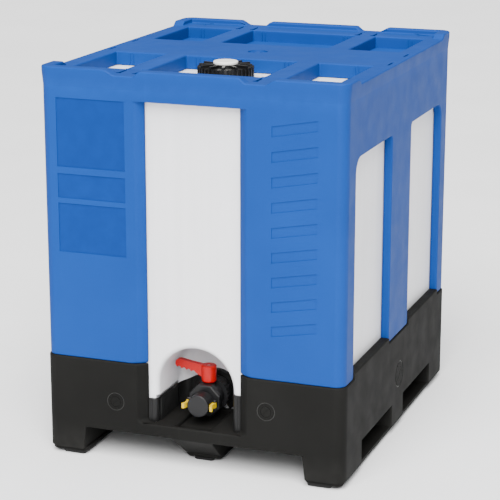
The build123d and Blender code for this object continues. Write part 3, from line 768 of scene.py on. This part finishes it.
# ---- base -----------------------------------------------------------------------------
BASE_NODES = ["base_deck", "base_walls", "bay_floor", "pallet_posts"]
POST_X, POST_Y = 0.365, 0.404       # inner faces of the outer posts
POST_MID = 0.070                    # half the middle posts' width and depth
POST_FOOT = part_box("pallet_posts")[0].z
DECK_BOTTOM, DECK_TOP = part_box("base_deck")[0].z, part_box("base_deck")[1].z
BAY_FLOOR = 0.139
BAY_X = 0.133
BAY_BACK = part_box("bay_floor")[1].y
TROUGH_X, TROUGH_BACK, TROUGH_FLOOR = 0.056, -0.390, 0.127
TROUGH_DRAFT = 0.010
TROUGH_EDGE = 0.002
RAMP_FOOT = 0.505                   # the middle posts' outer faces slope in to here
POST_DRAFT = 0.009
FORK_R, BAY_FOOT_R = 0.010, 0.014


def in_base(x, y, z):
    if z < DECK_BOTTOM:
        return (abs(x) > POST_X or abs(x) < POST_MID) and (abs(y) > POST_Y or abs(y) < POST_MID)
    trough = abs(x) < TROUGH_X and -Y_CORNER[3] < y < TROUGH_BACK and z > TROUGH_FLOOR
    if z < DECK_TOP:
        return not trough
    wall = abs(x) > WALL_X or abs(y) > WALL_Y
    if z < BAY_FLOOR:
        bay = abs(x) < BAY_X and y < BAY_BACK
        return (wall or bay) and not trough
    if y < -WALL_Y and abs(x) < FRONT_WIN:
        return False
    if z > SEAM:
        return wall and in_window(x, y, z)
    return wall


DIALS = [((-0.258, -HALF_Y, 0.200), (0, -1, 0), 0.030), ((0.248, -HALF_Y, 0.230), (0, -1, 0), 0.030),
         ((HALF_X, 0.014, 0.187), (1, 0, 0), 0.046)]    # centre, axis, radius
DIAL_TICKS = 12
DIAL_DEPTH = 0.0026                 # of the rings; the marks are half as deep


def dial_cutter(work, centre, axis, radius):
    """Shallow rings, ticks and a pointer: a plain mould-date dial."""
    axis = Vector(axis)
    across = UP.cross(axis)

    def mark(spot, way, length, width):
        turn = Matrix((way, axis.cross(way), axis)).transposed().to_4x4()
        size = Matrix.Diagonal((length, width, DIAL_DEPTH, 1))
        bmesh.ops.create_cube(work, size=1, matrix=Matrix.Translation(spot) @ turn @ size)

    for outer, inner in ((radius, radius * 0.9), (radius * 0.58, radius * 0.58 - 0.0015)):
        profile = [(inner, 0.003), (outer, 0.003), (outer, -DIAL_DEPTH), (inner, -DIAL_DEPTH)]
        turned(work, profile, centre, axis)
    for step in range(DIAL_TICKS):
        a = 2 * math.pi * step / DIAL_TICKS
        way = across * math.cos(a) + UP * math.sin(a)
        mark(Vector(centre) + way * radius * 0.78, way, radius * 0.2, 0.0016)
    mark(Vector(centre), (across + UP).normalized(), radius * 0.8, 0.003)


def black_base():
    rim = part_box("base_walls")[1].z
    xs = mirrored({TROUGH_X, POST_MID, BAY_X, FRONT_WIN, POST_X, *X_CORNER})
    ys = mirrored({POST_MID, SIDE_WIN_IN, POST_Y, SIDE_WIN_OUT, *Y_CORNER})
    ys = sorted({BAY_BACK, TROUGH_BACK, *ys})
    zs = [POST_FOOT, DECK_BOTTOM, TROUGH_FLOOR, DECK_TOP, BAY_FLOOR, SEAM, rim]
    work = cell_mesh(xs, ys, zs, in_base)
    slant_window_sides(work, BAY_FLOOR, rim)
    for vert in work.verts:
        x, y, z = vert.co
        if z > POST_FOOT + TINY:
            continue
        if abs(x) < POST_MID + TINY and abs(y) > POST_Y - TINY:
            vert.co.y = spread(y, POST_Y, HALF_Y, POST_Y, RAMP_FOOT)
        if at(x, POST_X):
            vert.co.x = x + math.copysign(POST_DRAFT, x)
        if at(x, POST_MID):
            vert.co.x = x - math.copysign(POST_DRAFT, x)
    for vert in work.verts:
        x, y, z = vert.co
        foot = DECK_BOTTOM + TINY < z < TROUGH_FLOOR + TINY
        if foot and abs(x) < TROUGH_X + TINY and y < TROUGH_BACK + TINY:
            vert.co.x = spread(x, 0, TROUGH_X, 0, TROUGH_X - TROUGH_DRAFT)
    round_plan(work, HALF_X, HALF_Y, PLAN_R, lambda z: 0)

    def at_trough(m):
        above = abs(m.x) < TROUGH_X + TINY and m.z > TROUGH_FLOOR - TINY
        return above and -Y_CORNER[3] - TINY < m.y < TROUGH_BACK + TINY

    def fork_roof(m, d):
        lengthwise = abs(d.y) > ALONG and abs(m.x) < POST_X + TINY
        crosswise = abs(d.x) > ALONG and abs(m.y) < POST_Y + TINY
        return at(m.z, DECK_BOTTOM) and (lengthwise or crosswise)

    def bay_foot(m, d):
        beside = within(m.x, (FRONT_WIN, FRONT_WIN_OUT)) and m.y < -WALL_Y
        return beside and at(m.z, BAY_FLOOR) and abs(d.y) > SLANTED

    round_edges(work, fork_roof, FORK_R, 4)
    round_edges(work, bay_foot, BAY_FOOT_R, 4)
    round_edges(work, lambda m, d: at_trough(m), TROUGH_EDGE, 2)
    round_edges(work, lambda m, d: not at_trough(m) and m.z > POST_FOOT + TINY, MOULD_EDGE, 3)
    dials = [mesh_from("dial", lambda cutter, dial=dial: dial_cutter(cutter, *dial)) for dial in DIALS]
    mesh = combined(finished_mesh(work, "black_base"), dials, "DIFFERENCE")
    piece = as_object("black_base", smooth(mesh), "base_black", "container")
    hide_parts(*BASE_NODES)


def dial_rings():
    """Paler rings lying in the dials' outer grooves, just below the base's face."""
    def build(work):
        for centre, axis, radius in DIALS:
            outer, inner = radius * 0.985, radius * 0.915
            profile = [(inner, -0.0030), (inner, -0.0012), (outer, -0.0012), (outer, -0.0030)]
            turned(work, profile, centre, axis)

    piece = as_object("dial_rings", smooth(mesh_from("dial_rings", build)), "base_black", "container")
    piece.data.materials[0] = DIAL_GREY


# ---- valve bay: ribbed liner and handle -----------------------------------------------
LINER_LOW, LINER_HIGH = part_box("bay_liner")
LINER_X, LINER_T = 0.125, 0.0075
LINER_TOP = 0.216
LINER_EDGE = 0.002
WING_END, BACK_END = 0.1545, 0.060      # X where a half of the wall begins and ends
WING_TURN, BACK_TURN = 0.018, 0.030     # its corner radii in plan
BACK_RISE, BACK_RISE_X = 0.026, 0.056   # height, and the X towards which it rises
WING_RISE, WING_RISE_Y = 0.044, (0.43, 0.55)
RIGHT_WING_X = 0.12
VALVE_Z = 0.197
RING_IN, RING_OUT = 0.051, 0.074
RING_FRONT, RING_BACK = -0.380, -0.369
RING_STEPS = 48
RIB_PITCH, RIB_WIDTH = 0.0095, 0.0050
RIBS_START, RIBS_END = 0.024, 0.034     # from the front and from the back
WING_RIBS_X = (0.1500, 0.1440)
BACK_RIBS_X = (0.092, 0.0825, 0.073)


def eased(value, low, high):
    """A soft rise from 0 to 1 between two limits."""
    share = min(1.0, max(0.0, (value - low) / (high - low)))
    return share * share * (3 - 2 * share)


def liner_top(x, y):
    """Height of the top edge: it rises softly to the outlet's ring and to the right-hand wing."""
    back = BACK_RISE * eased(-abs(x), -LINER_X, -BACK_RISE_X)
    wing = WING_RISE * eased(-y, *WING_RISE_Y) if x > RIGHT_WING_X else 0.0
    return LINER_TOP + max(back, wing)


def strip(work, path, low, high, thickness):
    """An upright wall along a plan path, softened along its top; high(x, y) gives its height."""
    rows = []
    for k, (x, y) in enumerate(path):
        before, after = path[max(0, k - 1)], path[min(len(path) - 1, k + 1)]
        along = Vector((after[0] - before[0], after[1] - before[1])).normalized()
        across = Vector((-along.y, along.x)) * thickness
        top = high(x, y)
        edge = top - LINER_EDGE
        section = [(0, low), (0, edge), (0.3, top), (0.7, top), (1, edge), (1, low)]
        rows.append([work.verts.new((x + across.x * share, y + across.y * share, z))
                     for share, z in section])
    skinned(work, rows)


def ribbed_liner():
    """Black ribbed skirt round the valve: wings, side walls, a back that rises to the outlet's ring."""
    front = LINER_LOW.y + 0.0015
    back = LINER_HIGH.y - LINER_T
    low = LINER_LOW.z

    def half_plan(side):
        path = [(side * WING_END, front), (side * (LINER_X + WING_TURN), front)]
        for a in quarter_turn(6, first=1):
            path.append((side * (LINER_X + WING_TURN - WING_TURN * math.sin(a)),
                         front + WING_TURN - WING_TURN * math.cos(a)))
        for a in quarter_turn(8):
            path.append((side * (LINER_X - BACK_TURN + BACK_TURN * math.cos(a)),
                         back - BACK_TURN + BACK_TURN * math.sin(a)))
        return path + [(side * x, back) for x in (0.085, 0.078, 0.071, 0.066, BACK_END)]

    def ribs(work, side):
        def rib(x, half_width, y0, y1, top, radius):
            rounded_bar(work, (x - half_width, y0, low), (x + half_width, y1, top), radius)

        y = front + RIBS_START
        while y < back - RIBS_END:
            rib(side * LINER_X, 0.0036, y, y + RIB_WIDTH, LINER_TOP - 0.003, 0.0018)
            y += RIB_PITCH
        for x in WING_RIBS_X:
            top = liner_top(side * x, front) - 0.003
            rib(side * x, 0.0018, front - 0.0012, front + 0.002, top, 0.001)
        for x in BACK_RIBS_X:
            top = liner_top(x, back) - 0.004
            rib(side * x, 0.0022, back - 0.0026, back + 0.002, top, 0.0016)

    def ring(work):
        profile = [(RING_IN, RING_BACK), (RING_IN, RING_FRONT + 0.003), (RING_IN + 0.003, RING_FRONT),
                   (RING_OUT - 0.004, RING_FRONT), (RING_OUT, RING_FRONT + 0.004), (RING_OUT, RING_BACK)]
        foot = math.asin((VALVE_Z - low) / RING_OUT)
        rows = []
        for step in range(RING_STEPS + 1):
            a = -foot + (math.pi + 2 * foot) * step / RING_STEPS
            rows.append([work.verts.new((r * math.cos(a), y, max(low, VALVE_Z + r * math.sin(a))))
                         for r, y in profile])
        skinned(work, rows)

    def build(work):
        for side in (-1, 1):
            strip(work, half_plan(side), low, liner_top, LINER_T * 0.9 * (-side))
            ribs(work, side)
        ring(work)

    piece = as_object("ribbed_liner", smooth(mesh_from("ribbed_liner", build)), "rubber_black", "container")
    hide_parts("bay_liner")


BORE_R, BOSS_R = 0.0085, 0.0245
ARM_HALF_T = 0.0095
SCALLOPS, SCALLOP_PITCH = 4, 0.0165
SCALLOP_START = (-0.100, -0.0175)       # X, and height from the boss's top
SCALLOP_SLOPE = -0.19
SCALLOP_X, SCALLOP_Z = 0.0062, 0.0042   # half width and rise


def red_handle():
    """Tall round boss and one rising arm, scalloped underneath."""
    low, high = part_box("handle")
    stem_y = (low.y + high.y) / 2
    top = high.z

    def boss(work):
        profile = [(BORE_R, low.z), (BOSS_R - 0.003, low.z), (BOSS_R - 0.001, low.z + 0.003),
                   (BOSS_R, top - 0.016), (BOSS_R, top - 0.003), (BOSS_R - 0.003, top), (BORE_R, top),
                   (BORE_R, top - 0.009), (BORE_R - 0.0001, top - 0.012)]
        turned(work, profile, (0, stem_y, 0), UP)

    def arm(work):
        outline = [(-0.012, top - 0.002), (-0.060, top + 0.004), (-0.098, top + 0.0105),
                   (-0.106, top + 0.0085), (-0.1115, top + 0.001), (-0.1125, top - 0.007),
                   (-0.109, top - 0.0135)]
        for index in range(SCALLOPS):
            x = SCALLOP_START[0] + index * SCALLOP_PITCH
            z = top + SCALLOP_START[1] + SCALLOP_SLOPE * (x - SCALLOP_START[0])
            for step in range(7):
                a = math.pi * step / 6
                outline.append((x - SCALLOP_X * math.cos(a), z + SCALLOP_Z * math.sin(a)))
        outline += [(-0.036, top - 0.033), (-0.024, top - 0.040), (-0.012, top - 0.044)]
        sides = (stem_y - ARM_HALF_T, stem_y + ARM_HALF_T)
        skinned(work, [[work.verts.new((x, y, z)) for x, z in outline] for y in sides])

    mesh = combined(mesh_from("boss", boss), [mesh_from("arm", arm)], "UNION")
    piece = as_object("red_handle", rounded(mesh, 0.0022), "handle_red", "valve_handle")
    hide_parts("handle")


# ---- inner container ------------------------------------------------------------------
CONTAINER_NODES = ["inner_container", "container_top", "container_front", "alcove_arch", "alcove_back"]


def white_container():
    """The container's CAD nodes, which meet face to face, as one mesh."""
    meshes = [node_mesh(node) for node in CONTAINER_NODES]
    mesh = combined(meshes[0], meshes[1:], "UNION")
    work = bmesh.new()
    work.from_mesh(mesh)
    bmesh.ops.remove_doubles(work, verts=work.verts, dist=WELD)
    work.to_mesh(mesh)
    work.free()
    piece = as_object("white_container", smooth(mesh), "container_white", "container")
    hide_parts(*CONTAINER_NODES)


ARCH_R, ARCH_Z, COVE_R = 0.125, 0.266, 0.036
ARCH_STEPS = 48
COVE_SINK = 0.0004          # how far the cove's back lies inside the container


def alcove_cove():
    """Soft inside corner between the alcove's arch and its back."""
    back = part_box("alcove_arch")[1].y
    foot = LINER_TOP - 0.004

    def build(work):
        path = [(1, 0, ARCH_R, foot), (1, 0, ARCH_R, ARCH_Z)]
        for step in range(1, ARCH_STEPS):
            a = math.pi * step / ARCH_STEPS
            path.append((math.cos(a), math.sin(a), ARCH_R * math.cos(a), ARCH_Z + ARCH_R * math.sin(a)))
        path += [(-1, 0, -ARCH_R, ARCH_Z), (-1, 0, -ARCH_R, foot)]
        profile = [(-COVE_SINK, COVE_SINK), (-COVE_SINK, -COVE_R)]
        for a in quarter_turn(8):
            profile.append((COVE_R * (1 - math.cos(a)) - COVE_SINK / 2,
                            -COVE_R * (1 - math.sin(a)) + COVE_SINK / 2))
        profile.append((COVE_R, COVE_SINK))
        rows = []
        for nx, nz, x, z in path:
            rows.append([work.verts.new((x - nx * inward, back + y, z - nz * inward))
                         for inward, y in profile])
        skinned(work, rows)

    as_object("alcove_cove", smooth(mesh_from("alcove_cove", build)), "container_white", "container")


# ---- the other CAD nodes --------------------------------------------------------------
EDGE_RADII = {
    "foot_pads": 0.0015, "runner_left": 0.002, "runner_middle": 0.002, "runner_right": 0.002,
    "filler_neck": 0.001, "filler_cap": 0.0012, "vent_plug": 0.0015,
    "outlet_neck": 0.001, "union_nut": 0.001, "valve_body": 0.0015,
    "end_collar": 0.0018, "spigot": 0.0012, "dust_cap": 0.0012, "cam_lever_left": 0.0016,
    "cam_lever_right": 0.0016, "handle_screw": 0.0004, "runner_screws": 0.0006,
}


def softened_nodes():
    """Copies of the smaller CAD pieces with rounded edges; what is hidden inside keeps its CAD mesh."""
    slots = {part["node"]: part["material_slot"] for part in frame["record"]["subparts"]}
    done = {"outer_shell", "top_frame", "bay_liner", "handle", *BASE_NODES, *CONTAINER_NODES}
    for body, nodes in frame["record"]["behaviour"]["bodies"].items():
        for node in nodes:
            if node in done:
                continue
            if node in EDGE_RADII:
                mesh = rounded(node_mesh(node), EDGE_RADII[node])
                piece = as_object(node + "_moulded", mesh, slots[node], body)
                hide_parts(node)
            else:
                own = frame["nodes"][node].data
                own.materials.clear()
                own.materials.append(MATERIALS[slots[node]])


# ---- stage ----------------------------------------------------------------------------
WORLD_STRENGTH = 0.38
SUN_STRENGTH, SUN_SPREAD = 8.2, math.radians(50)
SUN_WAY = (-0.16, 0.72, -0.95)
LIT_POINT = Vector((0, 0, 0.6))


def lamp(name, kind, power, way):
    """A light that shines along a direction."""
    data = bpy.data.lights.new(name, kind)
    data.energy = power
    light = bpy.data.objects.new(name, data)
    bpy.context.scene.collection.objects.link(light)
    light.rotation_euler = Vector(way).to_track_quat("-Z", "Y").to_euler()
    return light


def area_light(name, place, size, power):
    """A square light that faces the middle of the object."""
    light = lamp(name, "AREA", power, LIT_POINT - Vector(place))
    light.location = place
    light.data.shape = "RECTANGLE"
    light.data.size, light.data.size_y = size, size


def studio():
    def floor_plane(work):
        bmesh.ops.create_grid(work, x_segments=1, y_segments=1, size=40)

    floor = loose(mesh_from("floor", floor_plane), "floor")
    floor.data.materials.append(pale_floor("floor_pale"))
    world = bpy.data.worlds.new("studio")
    bpy.context.scene.world = world
    world.use_nodes = True
    background = world.node_tree.nodes["Background"]
    background.inputs["Color"].default_value = (1, 1, 1, 1)
    background.inputs["Strength"].default_value = WORLD_STRENGTH
    lamp("sky", "SUN", SUN_STRENGTH, SUN_WAY).data.angle = SUN_SPREAD
    area_light("key", (1.5, -4.8, 2.6), 2.6, 150)
    area_light("side", (5.2, -1.4, 2.8), 3.0, 15)
    area_light("top", (0.2, 0.6, 5.8), 5.0, 150)


def camera():
    data = bpy.data.cameras.new("camera")
    data.lens = LENS
    data.sensor_width = SENSOR
    data.clip_end = 200
    view = bpy.data.objects.new("camera", data)
    bpy.context.scene.collection.objects.link(view)
    azimuth, elevation = math.radians(CAMERA_AZIMUTH), math.radians(CAMERA_ELEVATION)
    back = Vector((math.sin(azimuth) * math.cos(elevation), -math.cos(azimuth) * math.cos(elevation),
                   math.sin(elevation)))
    view.location = CAMERA_AIM + back * CAMERA_DISTANCE
    view.rotation_euler = (-back).to_track_quat("-Z", "Y").to_euler()
    bpy.context.scene.camera = view


camera()
studio()
blue_shell()
label_floors()
blue_top_frame()
pocket_ribs()
black_base()
dial_rings()
ribbed_liner()
white_container()
alcove_cove()
red_handle()
softened_nodes()
